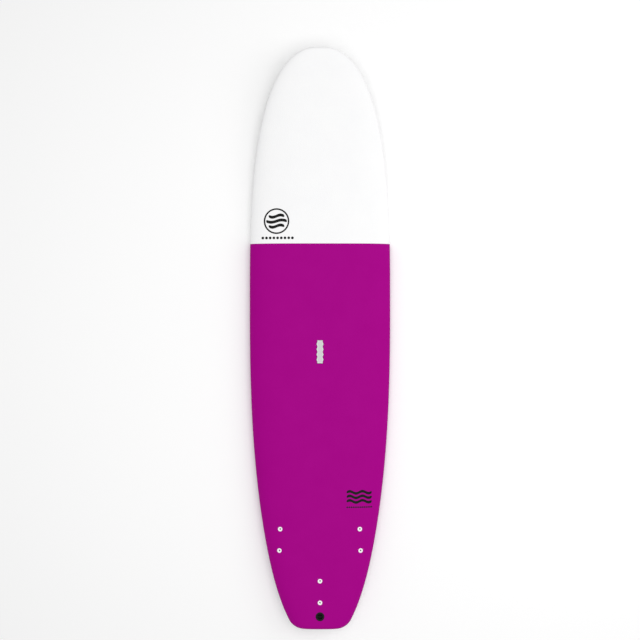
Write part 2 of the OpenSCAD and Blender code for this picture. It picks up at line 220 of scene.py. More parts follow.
def section(y, side_in=0.0, deck_in=0.0, base_in=0.0):
    """Half width, rail radius and the lowest, widest and highest levels at y, that deep inside the skins."""
    nose, tail = foils(y)
    thick, base = thickness(y), rocker(y)
    share = widest_mid + (widest_nose - widest_mid) * nose + (widest_tail - widest_mid) * tail
    level = base + share * thick
    tip = np.sqrt(1 - np.clip(1 - (half_len - y) / tip_run, 0, 1) ** 2)
    whole = outline(y)
    wide = whole - side_in * np.minimum(1, whole / full_skin_w)
    rail = np.minimum(rail_mid + (rail_tail - rail_mid) * tail, rail_share * wide) - side_in
    rail = np.maximum(rail, np.minimum(0.001, 0.1 * wide))
    low = level - (level - base - base_in) * tip
    high = level + (base + thick - arc_drop(half_len + y, lip_r) - deck_in - level) * tip
    return wide, rail, low, level, high


def deck_height(x, y):
    """Height of the deck at x, y, on the superellipse of its section."""
    wide, _, _, level, high = section(y)
    s = np.clip(np.abs(x) / np.maximum(wide, 1e-6), 0, 1)
    return level + (high - level) * (1 - s ** deck_side) ** (1 / deck_crown)


def deck_normal(x, y):
    """Unit normal of the deck at x, y, from its slopes over 2 mm each way."""
    h = 0.002
    sx = (deck_height(x + h, y) - deck_height(x - h, y)) / (2 * h)
    sy = (deck_height(x, y + h) - deck_height(x, y - h)) / (2 * h)
    n = np.stack([-sx, -sy, np.ones_like(sx)], -1)
    return n / np.linalg.norm(n, axis=-1, keepdims=True)


def repaint(names, material):
    """Give pieces that keep the shape of the solid model another finish."""
    for name in names:
        mesh = frame["nodes"][name].data
        mesh.materials.clear()
        mesh.materials.append(material)


# Expanded polystyrene: pressed beads 4 mm across, each a shallow dome, matt white. Each bead is painted
# darker towards its rim, a painted shade where the domes meet
core_foam, tree, surface, place = new_material("expanded_polystyrene", Roughness=0.85, IOR=1.5)
beads = add(tree, "ShaderNodeTexVoronoi", ("Vector", place), ("Scale", 1 / 0.004))
edge = add(tree, "ShaderNodeMapRange", ("Value", beads.outputs["Distance"]), ("From Max", 0.9))
shade = add(tree, "ShaderNodeMix", (0, edge.outputs[0]), (6, linear("F4F4F0")), (7, linear("DCDCD6")),
            data_type="RGBA")
tree.links.new(shade.outputs[2], surface.inputs["Base Color"])
dome = add(tree, "ShaderNodeBump", ("Height", beads.outputs["Distance"]), ("Strength", 0.5),
           ("Distance", 0.0006), invert=True)
tree.links.new(dome.outputs[0], surface.inputs["Normal"])
repaint(["core_left", "core_centre", "core_right"], core_foam)

# Planed pine: growth rings about 12 mm apart that run the length of the strip. A wave texture of
# scale 1 repeats every pi / 10 m.
pine, tree, surface, place = new_material("planed_pine", Roughness=0.6, IOR=1.5)
long_grain = add(tree, "ShaderNodeMapping", ("Vector", place), ("Scale", (1.0, 0.04, 1.0)))
growth = add(tree, "ShaderNodeTexWave", ("Vector", long_grain.outputs[0]), ("Scale", np.pi / 10 / 0.01187),
             ("Distortion", 6.0), ("Detail", 3.0), bands_direction="Z")
shade = add(tree, "ShaderNodeMix", (0, growth.outputs["Fac"]), (6, linear("DDBE8A")), (7, linear("B98A4E")),
            data_type="RGBA")
tree.links.new(shade.outputs[2], surface.inputs["Base Color"])
repaint(["stringer_left", "stringer_right"], pine)

# Glass cloth in epoxy: plain weave of 2.4 mm tows, two to a repeat, under clear resin, faintly green
laminate, tree, surface, place = new_material("glass_cloth_epoxy", Roughness=0.3, IOR=1.52)
tow_scale = np.pi / 10 / 0.00475
warp = add(tree, "ShaderNodeTexWave", ("Vector", place), ("Scale", tow_scale), bands_direction="X")
weft = add(tree, "ShaderNodeTexWave", ("Vector", place), ("Scale", tow_scale), bands_direction="Y")
weave = add(tree, "ShaderNodeMath", (0, warp.outputs["Fac"]), (1, weft.outputs["Fac"]), operation="MULTIPLY")
shade = add(tree, "ShaderNodeMix", (0, weave.outputs[0]), (6, linear("D2DBC8")), (7, linear("E0E6D8")),
            data_type="RGBA")
tree.links.new(shade.outputs[2], surface.inputs["Base Color"])
weave_bump = add(tree, "ShaderNodeBump", ("Height", weave.outputs[0]), ("Strength", 0.4),
                 ("Distance", 0.0002))
tree.links.new(weave_bump.outputs[0], surface.inputs["Normal"])
repaint(["deck_laminate", "bottom_laminate"], laminate)

# ---------------------------------------------------------------------------------------------
# Soft deck skins
# Two sheets of 5 mm closed-cell foam, white over the nose and magenta over the rest, heat-formed
# round the rails to the edge of the flat bottom and butted in one straight seam across the deck.
# ---------------------------------------------------------------------------------------------
skin_deep = (0.005, 0.005, 0.003)
colour_seam = 0.403
seam_r = 0.0008
seam_steps = np.array([0.0, 0.04, 0.15, 0.45, 1.0]) * seam_r
# The seam's round shrinks with a rail or a half width below seam_fade
seam_fade = 0.004
rail_steps, half_deck_steps = 12, 36


def moved_in(y, depth):
    """Stations of an inner surface, drawn in at the two ends by depth times the way there to the eighth."""
    return y - depth * np.sign(y) * (np.abs(y) / half_len) ** 8


def deck_grid(y, depth):
    """Points from the right seam round the rail and over the deck to the left seam.

    Each side is a quarter ellipse up to the widest level, then the superellipse of the deck.
    """
    wide, rail, low, level, high = (v[:, None] for v in section(y, *depth))
    close = np.minimum(1, rail / seam_fade)
    first = np.arcsin(np.clip(seam_steps * close / np.maximum(rail, 1e-9), 0, 1))
    last = first[:, -1:]
    a = np.concatenate([first, last + (np.pi / 2 - last) * np.arange(1, rail_steps + 1) / rail_steps], 1)
    # Over the deck the points crowd towards the rail, where the surface turns most
    c = np.cos(np.pi / 2 * np.arange(1, half_deck_steps + 1) / half_deck_steps) ** 0.84
    c[-1] = 0
    x = np.concatenate([wide - rail + rail * np.sin(a), wide * c], 1)
    z = np.concatenate([level - (level - low) * np.cos(a),
                        level + (high - level) * (1 - c ** deck_side) ** (1 / deck_crown)], 1)
    x = np.concatenate([x, -x[:, -2::-1]], 1)
    z = np.concatenate([z, z[:, -2::-1]], 1)
    stations = np.broadcast_to(moved_in(y, depth[0])[:, None], x.shape)
    return np.stack([x, stations, z], -1)


def seam_drop(row_d, columns):
    """Drop at each point of a grid: a quarter circle of the seam's radius at its edges.

    It follows each row's distance from a seam, and the seam's steps at the first and last columns.
    """
    column_d = np.ones(columns)
    column_d[:len(seam_steps)] = seam_steps
    column_d[-len(seam_steps):] = seam_steps[::-1]
    return np.maximum(arc_drop(row_d, seam_r)[:, None], arc_drop(column_d, seam_r)[None, :])


def let_in(points, row_d):
    """A deck grid, whose rows run aft and columns to the left, sunk along its normals by the seam's drop."""
    n = np.cross(np.gradient(points, axis=1), np.gradient(points, axis=0))
    n /= np.maximum(np.linalg.norm(n, axis=-1, keepdims=True), 1e-12)
    return points - n * seam_drop(row_d, points.shape[1])[..., None]


def quads(rows, columns, loop_rows=False, loop_columns=False):
    """Corner numbers of the faces of a grid, closed round either way if asked."""
    i = np.arange(rows if loop_rows else rows - 1)[:, None]
    j = np.arange(columns if loop_columns else columns - 1)[None, :]
    ahead, beside = (i + 1) % rows, (j + 1) % columns
    corners = (i * columns + j, ahead * columns + j, ahead * columns + beside, i * columns + beside)
    return np.stack(np.broadcast_arrays(*corners), -1).reshape(-1, 4)


def layer(outer, inner, capped=False):
    """Points, quads and end faces of a closed layer between two grids.

    Capped, its last row goes round a whole end of the board and each grid's last row is one face.
    """
    rows, columns, _ = outer.shape
    total = rows * columns
    number = np.arange(total).reshape(rows, columns)
    face = quads(rows, columns)
    edges = [number[:, 0], number[:, -1], number[0]]
    edges.append(number[-1, [-1, 0]] if capped else number[-1])
    rims = [number[-1], number[-1] + total] if capped else []
    walls = [np.stack([e[:-1], e[1:], e[1:] + total, e[:-1] + total], -1) for e in edges]
    return (np.concatenate([outer.reshape(-1, 3), inner.reshape(-1, 3)]),
            np.concatenate([face, face + total, *walls]), rims)


def joined(*parts):
    """Several sets of points, quads and end faces as one."""
    starts = np.cumsum([0] + [len(p[0]) for p in parts[:-1]])
    return (np.concatenate([p[0] for p in parts]),
            np.concatenate([p[1] + s for p, s in zip(parts, starts)]),
            [rim + s for p, s in zip(parts, starts) for rim in p[2]])


def finish_mesh(mesh, material, sharp_deg=35.0):
    """Faces turned outwards, one material, and smooth shading but for edges sharper than sharp_deg."""
    shape = bmesh.new()
    shape.from_mesh(mesh)
    bmesh.ops.recalc_face_normals(shape, faces=shape.faces)
    shape.to_mesh(mesh)
    shape.free()
    mesh.materials.clear()
    mesh.materials.append(material)
    mesh.shade_smooth()
    mesh.set_sharp_from_angle(angle=np.radians(sharp_deg))


def new_piece(name, parts, material, sharp_deg=35.0):
    """A mesh object from points, quads and end faces, with coincident points merged, collapsed faces out."""
    verts, face, rims = parts
    _, first, at = np.unique(np.round(verts, 7), axis=0, return_index=True, return_inverse=True)
    at = at.ravel()
    corners = at[face]
    double = corners == np.roll(corners, -1, axis=1)
    kept = double.sum(1) < 2
    loops, sizes = [corners[kept][~double[kept]]], [4 - double[kept].sum(1)]
    for rim in rims:
        rim = at[rim]
        rim = rim[rim != np.roll(rim, -1)]
        loops.append(rim)
        sizes.append([len(rim)])
    loops, sizes = np.concatenate(loops), np.concatenate(sizes)
    mesh = bpy.data.meshes.new(name)
    mesh.vertices.add(len(first))
    mesh.vertices.foreach_set("co", verts[first].astype(np.float32).ravel())
    mesh.loops.add(len(loops))
    mesh.loops.foreach_set("vertex_index", loops.astype(np.int32))
    mesh.polygons.add(len(sizes))
    mesh.polygons.foreach_set("loop_start", (np.cumsum(sizes) - sizes).astype(np.int32))
    mesh.update(calc_edges=True)
    mesh.validate()
    finish_mesh(mesh, material, sharp_deg)
    made = bpy.data.objects.new(name, mesh)
    bpy.context.scene.collection.objects.link(made)
    return made


def cut(piece, cutters):
    """Take cutters out of a piece one after the other. Each is closed meshes that don't meet one another."""
    material = piece.data.materials[0]
    for parts in cutters:
        tool = new_piece("cutter", parts, material)
        step = piece.modifiers.new("cut", "BOOLEAN")
        step.operation, step.solver, step.object = "DIFFERENCE", "EXACT", tool
        now = piece.evaluated_get(bpy.context.evaluated_depsgraph_get())
        mesh, before = bpy.data.meshes.new_from_object(now), piece.data
        piece.modifiers.clear()
        piece.data = mesh
        bpy.data.meshes.remove(before)
        bpy.data.objects.remove(tool)
    piece.data.name = piece.name
    finish_mesh(piece.data, material)


def foam_skin(name, light, dark):
    """Cross-linked polyethylene foam sheet: matt, with a closed-cell pebble and hardly any mirror gloss.

    The pebble is drawn 2.2 mm wide, coarser than the real one, so that it shows.
    """
    made, tree, surface, place = new_material(name, IOR=1.45, Specular_IOR_Level=0.04)
    cloud = add(tree, "ShaderNodeTexNoise", ("Vector", place), ("Scale", 1 / 0.09), ("Detail", 3.0))
    shade = add(tree, "ShaderNodeMix", (0, cloud.outputs["Fac"]), (6, linear(light)), (7, linear(dark)),
                data_type="RGBA")
    tree.links.new(shade.outputs[2], surface.inputs["Base Color"])
    rough = add(tree, "ShaderNodeMapRange", ("Value", cloud.outputs["Fac"]), ("To Min", 0.5),
                ("To Max", 0.66))
    tree.links.new(rough.outputs[0], surface.inputs["Roughness"])
    cells = add(tree, "ShaderNodeTexVoronoi", ("Vector", place), ("Scale", 1 / 0.0022), feature="SMOOTH_F1")
    pebble = add(tree, "ShaderNodeBump", ("Height", cells.outputs["Distance"]), ("Strength", 0.6),
                 ("Distance", 0.0008), invert=True)
    tree.links.new(pebble.outputs[0], surface.inputs["Normal"])
    return made


def stand_for(piece, slot, *nodes):
    """Show a piece in place of solids of the board: attach it to the board and hide those solids. The slot
    is not used.
    """
    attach(piece, "board")
    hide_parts(*nodes)


skin_white = foam_skin("white_foam_skin", "F9F9F9", "F5F5F6")
skin_magenta = foam_skin("magenta_foam_skin", "A50387", "A10283")

nose_run = half_len - colour_seam
nose_back = nose_run * np.linspace(0, 1, 111) ** 2.2
nose_back = np.concatenate([nose_back[nose_back < nose_run - seam_r], nose_run - seam_steps[::-1]])
tail_run = 0.1
main_y = np.concatenate([colour_seam - seam_steps,
                         np.linspace(colour_seam, tail_run - half_len, 152)[1:],
                         -half_len + tail_run * (1 - np.arange(1, 41) / 40) ** 2])


def deck_skin(name, y, material, capped):
    """One deck skin: the board's surface let in at its seams, over the surface at the skin's depth."""
    outer = let_in(deck_grid(y, (0, 0, 0)), np.abs(y - colour_seam))
    return new_piece(name, layer(outer, deck_grid(y, skin_deep), capped), material)


nose_foam = deck_skin("nose_foam", half_len - nose_back, skin_white, False)
stand_for(nose_foam, "skin_white", "nose_skin")
main_foam = deck_skin("main_foam", main_y, skin_magenta, True)
stand_for(main_foam, "skin_magenta", "main_skin")

# ---------------------------------------------------------------------------------------------
# Slick bottom
# A 3 mm polyethylene sheet, hot-bonded to the flat bottom. Its edge meets the deck skin in a fine
# groove that follows the outline just inside the rail.
# ---------------------------------------------------------------------------------------------
across = np.linspace(-1, 1, 33)
# The groove at the sheet's edge runs out over this length at the tip of the nose
groove_fade = 0.02


def bottom_grid(y, depth):
    """Points across the flat bottom between its two seams, closer together at the seams."""
    wide, rail, low, _, _ = (v[:, None] for v in section(y, *depth))
    flat = wide - rail
    close = np.minimum(1, rail / seam_fade) * np.minimum(1, flat / seam_fade)
    side = flat - seam_steps * close
    x = np.concatenate([side, side[:, -1:] * -across[1:-1], -side[:, ::-1]], 1)
    stations = np.broadcast_to(moved_in(y, depth[0])[:, None], x.shape)
    return np.stack([x, stations, np.broadcast_to(low, x.shape)], -1)


# High-density polyethylene: rolled smooth, a soft waxy gloss with faint ripples from the hot roller
slick, tree, surface, place = new_material("polyethylene_slick", IOR=1.54, Specular_IOR_Level=0.35)
cloud = add(tree, "ShaderNodeTexNoise", ("Vector", place), ("Scale", 1 / 0.12), ("Detail", 2.0))
shade = add(tree, "ShaderNodeMix", (0, cloud.outputs["Fac"]), (6, linear("F8F8F8")), (7, linear("F3F3F4")),
            data_type="RGBA")
tree.links.new(shade.outputs[2], surface.inputs["Base Color"])
rough = add(tree, "ShaderNodeMapRange", ("Value", cloud.outputs["Fac"]), ("To Min", 0.24), ("To Max", 0.34))
tree.links.new(rough.outputs[0], surface.inputs["Roughness"])
ripple = add(tree, "ShaderNodeTexNoise", ("Vector", place), ("Scale", 1 / 0.035))
ripple_bump = add(tree, "ShaderNodeBump", ("Height", ripple.outputs["Fac"]), ("Strength", 0.1),
                  ("Distance", 0.001))
tree.links.new(ripple_bump.outputs[0], surface.inputs["Normal"])

slick_y = np.concatenate([half_len - nose_back[:-1], main_y])
slick_outer = bottom_grid(slick_y, (0, 0, 0))
groove = seam_drop(half_len + slick_y, slick_outer.shape[1])
slick_outer[..., 2] += groove * np.minimum(1, (half_len - slick_y) / groove_fade)[:, None]
slick_sheet = new_piece("slick_sheet", layer(slick_outer, bottom_grid(slick_y, skin_deep)), slick)
stand_for(slick_sheet, "slick_white", "bottom_slick")

# ---------------------------------------------------------------------------------------------
# Fin plugs
# Each fin is held by two bolts. A white nylon sleeve runs through the board round each bolt and
# ends in a thin flange on the deck; a pale nylon collar backs it in the bottom.
# ---------------------------------------------------------------------------------------------
flange_r, flange_t, flange_proud = 0.0095, 0.002, 0.0003
flange_round, sink_mouth_r, sink_r, sink_deep = 0.0006, 0.0062, 0.0045, 0.0009
sleeve_r, sleeve_foot, sleeve_neck = 0.0055, 0.0005, 0.0002
# The sleeve's rings turn from the bolt's axis to the deck's normal this far below the deck
sleeve_turn = 0.0024
collar_r, collar_len, collar_flange, collar_round = 0.0075, 0.014, 0.0018, 0.0005
collar_bore_r = sleeve_r + 0.0003
clearance = 0.00015
# Cutters reach this far past the surface, or by the smaller spare past what they make room for
past, spare = 0.012, 0.004
sides = 56


def swept_rings(centres, axes, radii):
    """Points of a circle for each centre, axis and radius.

    They start a little off +X, so that none lies on the board's own midline.
    """
    axes = axes / np.linalg.norm(axes, axis=1, keepdims=True)
    right = np.array([1.0, 0, 0]) - axes * axes[:, :1]
    right /= np.linalg.norm(right, axis=1, keepdims=True)
    ahead = np.cross(axes, right)
    turn = ((np.arange(sides) + 0.3) * 2 * np.pi / sides)[None, :, None]
    spokes = right[:, None] * np.cos(turn) + ahead[:, None] * np.sin(turn)
    return centres[:, None] + spokes * radii[:, None, None]


def turned(profile, origin, axis):
    """A closed solid from a profile of (height, radius) turned about axis.

    The profile starts and ends on the axis, or runs round in a loop clear of it.
    """
    profile = np.array(profile, float)
    centres = origin + profile[:, :1] * axis
    points = swept_rings(centres, np.repeat(axis[None], len(profile), 0), profile[:, 1])
    return points.reshape(-1, 3), quads(len(profile), sides, profile[0, 1] > 0, True), []


def softened(profile, radius, steps=4):
    """A looped profile with each corner replaced by a parabola that starts up to radius before it."""
    p = np.array(profile, float)
    before, after = np.roll(p, 1, axis=0) - p, np.roll(p, -1, axis=0) - p
    la, lb = (np.linalg.norm(v, axis=1, keepdims=True) for v in (before, after))
    reach = np.minimum(radius, 0.45 * np.minimum(la, lb))
    start, end = (p + before * reach / la)[:, None], (p + after * reach / lb)[:, None]
    t = np.linspace(0, 1, steps + 1)[None, :, None]
    return ((1 - t) ** 2 * start + 2 * t * (1 - t) * p[:, None] + t * t * end).reshape(-1, 2)


def bolt_line(mount):
    """Where a fin bolt's hole starts on the bottom, where it ends on the deck, and its direction upwards."""
    up = -np.array(mount["axis"])
    # The mount lies 1 mm up the hole
    foot = np.array(mount["pos_m"]) - 0.001 * up
    reach = 0.06
    for _ in range(6):
        tip = foot + up * reach
        reach = (float(deck_height(tip[0], tip[1])) - foot[2]) / up[2]
    return foot, foot + up * reach, up


def nylon(name, light, dark, rough_low, rough_high, level=0.5):
    """Moulded nylon: satin, with a fine spark-eroded texture 0.6 mm across and slight flow marks."""
    made, tree, surface, place = new_material(name, IOR=1.53, Specular_IOR_Level=level)
    flow = add(tree, "ShaderNodeTexNoise", ("Vector", place), ("Scale", 1 / 0.012), ("Detail", 2.0))
    shade = add(tree, "ShaderNodeMix", (0, flow.outputs["Fac"]), (6, linear(light)), (7, linear(dark)),
                data_type="RGBA")
    tree.links.new(shade.outputs[2], surface.inputs["Base Color"])
    rough = add(tree, "ShaderNodeMapRange", ("Value", flow.outputs["Fac"]), ("To Min", rough_low),
                ("To Max", rough_high))
    tree.links.new(rough.outputs[0], surface.inputs["Roughness"])
    sparks = add(tree, "ShaderNodeTexNoise", ("Vector", place), ("Scale", 1 / 0.0006))
    spark_bump = add(tree, "ShaderNodeBump", ("Height", sparks.outputs["Fac"]), ("Strength", 0.12),
                     ("Distance", 0.0001))
    tree.links.new(spark_bump.outputs[0], surface.inputs["Normal"])
    return made


white_nylon = nylon("white_nylon", "FBFBFA", "F4F4F3", 0.36, 0.46)
pale_nylon = nylon("pale_nylon", "E6E6E8", "DDDDE0", 0.36, 0.46)
recess_r, shaft_r, seat_r = flange_r + clearance, sleeve_r + clearance, collar_r + clearance
recesses, shafts, foot_holes = [], [], []
for mount in frame["record"]["mounts"]:
    if mount["kind"] != "bore":
        continue
    place_name = mount["name"][len("fin_bolt_"):]
    bolt_r = mount["dims"]["r_mm"] / 1000
    foot, head, up = bolt_line(mount)
    square = deck_normal(head[0], head[1])
    recess = [(-flange_t, 0), (-flange_t, recess_r), (past, recess_r), (past, 0)]
    recesses.append(turned(recess, head, square))
    shafts.append(turned([(-past, 0), (-past, shaft_r), (spare, shaft_r), (spare, 0)], head, up))
    foot_holes.append(turned([(-past, 0), (-past, recess_r), (collar_flange, recess_r),
                              (collar_flange, seat_r), (past, seat_r), (past, 0)], foot, up))
    # The sleeve's profile runs up its outside, over the flange, down a countersink and down the bore
    reach = (head - foot) @ up
    flange = softened([(-flange_t, sleeve_r + sleeve_neck), (-flange_t, flange_r), (flange_proud, flange_r),
                       (flange_proud, sink_mouth_r), (flange_proud - 0.0001, sink_r),
                       (-sink_deep, bolt_r)], flange_round)
    shaft = np.array([(sleeve_foot, bolt_r), (sleeve_foot, sleeve_r), (reach - sleeve_turn, sleeve_r)])
    bore = np.array([(reach - sleeve_turn, bolt_r)])
    centres = np.concatenate([foot + shaft[:, :1] * up, head + flange[:, :1] * square,
                              foot + bore[:, :1] * up])
    axes = np.concatenate([np.repeat(up[None], 3, 0), np.repeat(square[None], len(flange), 0), up[None]])
    radii = np.concatenate([shaft[:, 1], flange[:, 1], bore[:, 1]])
    points = swept_rings(centres, axes, radii)
    sleeve = new_piece("sleeve_" + place_name,
                       (points.reshape(-1, 3), quads(len(radii), sides, True, True), []), white_nylon)
    stand_for(sleeve, "plug_white", "fin_sleeve_" + place_name)
    collar_loop = softened([(0, collar_bore_r), (0, flange_r), (collar_flange, flange_r),
                            (collar_flange, collar_r), (collar_len, collar_r),
                            (collar_len, collar_bore_r)], collar_round)
    collar = new_piece("collar_" + place_name, turned(collar_loop, foot, up), pale_nylon)
    stand_for(collar, "collar_grey", "fin_collar_" + place_name)

# ---------------------------------------------------------------------------------------------
# Leash plug
# A black nylon cup let into the tail, with a pin across it for the leash's loop of cord. A cap
# with a stem closes it from below.
# ---------------------------------------------------------------------------------------------
pin_mount = next(m for m in frame["record"]["mounts"] if m["name"] == "leash_pin")
pin_at = np.array(pin_mount["pos_m"])
pin_r, pin_drop, pin_half, pin_sides = 0.002, 0.006, 0.013, 32
# The pin is a little thinner over the stretch that the cord bears on
waist_r, waist_half, waist_end = 0.00185, 0.0082, 0.009
cup_up = deck_normal(0.0, pin_at[1])
cup_at = pin_at + pin_drop * cup_up
leash_r, cup_r, cup_bore_r, cup_len, cup_deep, cup_flange = 0.0185, 0.014, 0.011, 0.018, 0.016, 0.0025
spigot_r, spigot_len, stem_r = 0.008, 0.014, 0.005
socket_r, floor_hole_r, cup_round = stem_r + 0.0003, 0.0002, 0.0008
# The cap's ring groove, from its inner to its outer edge, and the chamfer of the cap's rim and stem
groove_in, groove_out, groove_slope, groove_deep = 0.0066, 0.009, 0.0006, 0.0004
cap_chamfer = 0.001
# The stem stops this far short of the cup's floor
stem_gap = 0.004
leash_thick = float(thickness(cup_at[1]))
cap_y = cup_at[1] - leash_thick * cup_up[1]
cap_tilt = float(rocker(cap_y + 0.002) - rocker(cap_y - 0.002)) / 0.004
cap_up = np.array([0, -cap_tilt, 1]) / np.hypot(cap_tilt, 1)
cap_at = np.array([0, cap_y, float(rocker(cap_y))])

black_nylon = nylon("black_nylon", "0F0F0F", "0B0B0C", 0.42, 0.54, level=0.15)
# The cup's profile runs up the outside, over the domed flange, and down into the bore to its rounded floor
cup_loop = [(-cup_len, spigot_r), (-cup_len, cup_r), (-cup_flange, cup_r), (-cup_flange, leash_r),
            (-0.0001, leash_r), (flange_proud, leash_r - 0.0012), (flange_proud, cup_bore_r + 0.0005),
            (-0.0004, cup_bore_r), (-cup_deep, cup_bore_r), (-cup_deep, floor_hole_r),
            (-cup_len, floor_hole_r), (-cup_len, socket_r), (-cup_len - spigot_len, socket_r),
            (-cup_len - spigot_len, spigot_r)]
cup = new_piece("cup", turned(softened(cup_loop, cup_round), cup_at, cup_up), black_nylon)
pin_ends = np.array([(-pin_half, 0), (-pin_half, pin_r), (-waist_end, pin_r), (-waist_half, waist_r),
                     (waist_half, waist_r), (waist_end, pin_r), (pin_half, pin_r), (pin_half, 0)])
turn = np.linspace(0, 2 * np.pi, pin_sides + 1)[:-1]
pin_side = np.cross(cup_up, [1.0, 0, 0])
pin_points = (pin_at + pin_ends[:, None, :1] * np.array([1.0, 0, 0])
              + pin_ends[:, None, 1:] * (np.cos(turn)[None, :, None] * cup_up
                                         + np.sin(turn)[None, :, None] * pin_side))
pin_parts = (pin_points.reshape(-1, 3), quads(len(pin_ends), pin_sides, False, True), [])
pin = new_piece("pin", pin_parts, black_nylon)
cap_profile = [(0, 0), (0, groove_in), (groove_deep, groove_in + groove_slope),
               (groove_deep, groove_out - groove_slope), (0, groove_out), (0, leash_r - cap_chamfer),
               (0.0008, leash_r), (cup_flange, leash_r), (cup_flange, stem_r), (cup_flange, 0)]
stem_top = leash_thick - cup_len - stem_gap
stem_profile = [(cup_flange / 2, 0), (cup_flange / 2, stem_r), (stem_top - cap_chamfer, stem_r),
                (stem_top, stem_r - cap_chamfer), (stem_top, 0)]
cap = new_piece("cap", joined(turned(cap_profile, cap_at, cap_up),
                              turned(stem_profile, cup_at - leash_thick * cup_up, cup_up)), black_nylon)
for made in (cup, pin, cap):
    stand_for(made, "leash_black", "leash_" + made.name)

# ---------------------------------------------------------------------------------------------
# Carry strap
# An elastic strap of grey moulded rubber, scalloped for the fingers, flush in a die-cut slot of
# the deck. Its ends are riveted into a hand tray under the skin.
# ---------------------------------------------------------------------------------------------
tray_low, tray_high = (np.array(v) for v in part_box("handle_tray"))
strap_at = np.array([0.0, (tray_low[1] + tray_high[1]) / 2, thick_mid])
strap_half, strap_t, strap_gap = 0.048, 0.0047, 0.0012
strap_mean, scallop, pitch = 0.0126, 0.0018, 0.0218
rim_w, pad_drop, pad_edge, corner_r = 0.0024, 0.0005, 0.0008, 0.0011
finger_groove_w, finger_groove_deep = 0.0012, 0.0005


def strap_width(y):
    """Half width at y from the strap's centre: a cosine of the finger pitch, narrowest at the centre."""
    return strap_mean - scallop * np.cos(2 * np.pi * y / pitch)


def pad_share(x, y):
    """0 on the rim and 1 on the pad, at x, y from the strap's centre: a cubic step over the pad's edge."""
    inside = np.minimum(strap_width(y) - np.abs(x), strap_half - np.abs(y)) - rim_w
    v = np.clip(inside / pad_edge, 0, 1)
    return v * v * (3 - 2 * v)


def strap_bar(y):
    """Points and end faces of half a strap over the stations y.

    It is a rounded bar whose top is sunk by a pad inside a raised rim. A groove, a Gaussian of the
    distance along the strap, crosses the pad at each narrow place.
    """
    corner = np.radians(np.linspace(90, 0, 7))
    flat = np.linspace(-1, 1, 45)
    # Each point's share of the way across to the corner's centre, then its place on the corner's arc
    across_unit = np.concatenate([flat, np.ones(14), flat[::-4], -np.ones(14)])
    arc_x = np.concatenate([0 * flat, np.cos(corner), np.cos(corner[::-1]), 0 * flat[::-4],
                            -np.cos(corner), -np.cos(corner[::-1])])
    arc_z = np.concatenate([1 + 0 * flat, np.sin(corner), -np.sin(corner[::-1]), -1 + 0 * flat[::-4],
                            -np.sin(corner), np.sin(corner[::-1])])
    y = y[:, None]
    x = (strap_width(y) - corner_r) * across_unit + corner_r * arc_x
    z = (strap_t / 2 - corner_r) * np.sign(arc_z) + corner_r * arc_z
    top = arc_z > 0.99
    groove = np.exp(-((np.mod(y + pitch / 2, pitch) - pitch / 2) / finger_groove_w) ** 2)
    z = z - top * pad_share(x, y) * (pad_drop + finger_groove_deep * groove)
    points = strap_at + np.stack(np.broadcast_arrays(x, y, z - strap_t / 2), -1)
    loop = np.arange(x.shape[1])
    return points, [loop, x.size - 1 - loop]


# Thermoplastic rubber: matt, with a 0.8 mm leather-like grain. The rim is painted paler and greener than the
# pad, a painted highlight along it
strap_rubber, tree, surface, place = new_material("grey_rubber", Roughness=0.55, IOR=1.5,
                                                  Specular_IOR_Level=0.3)
# The pad and rim colours below: the paler, greener rim colour is a painted highlight
rim_highlight_share = add(tree, "ShaderNodeAttribute", attribute_name="rim")
shade = add(tree, "ShaderNodeMix", (0, rim_highlight_share.outputs["Fac"]), (6, linear("CDCBCD")),
            (7, linear("E4E8E4")), data_type="RGBA")
tree.links.new(shade.outputs[2], surface.inputs["Base Color"])
grain = add(tree, "ShaderNodeTexVoronoi", ("Vector", place), ("Scale", 1 / 0.0008))
grain_bump = add(tree, "ShaderNodeBump", ("Height", grain.outputs["Distance"]), ("Strength", 0.25),
                 ("Distance", 0.0001))
tree.links.new(grain_bump.outputs[0], surface.inputs["Normal"])

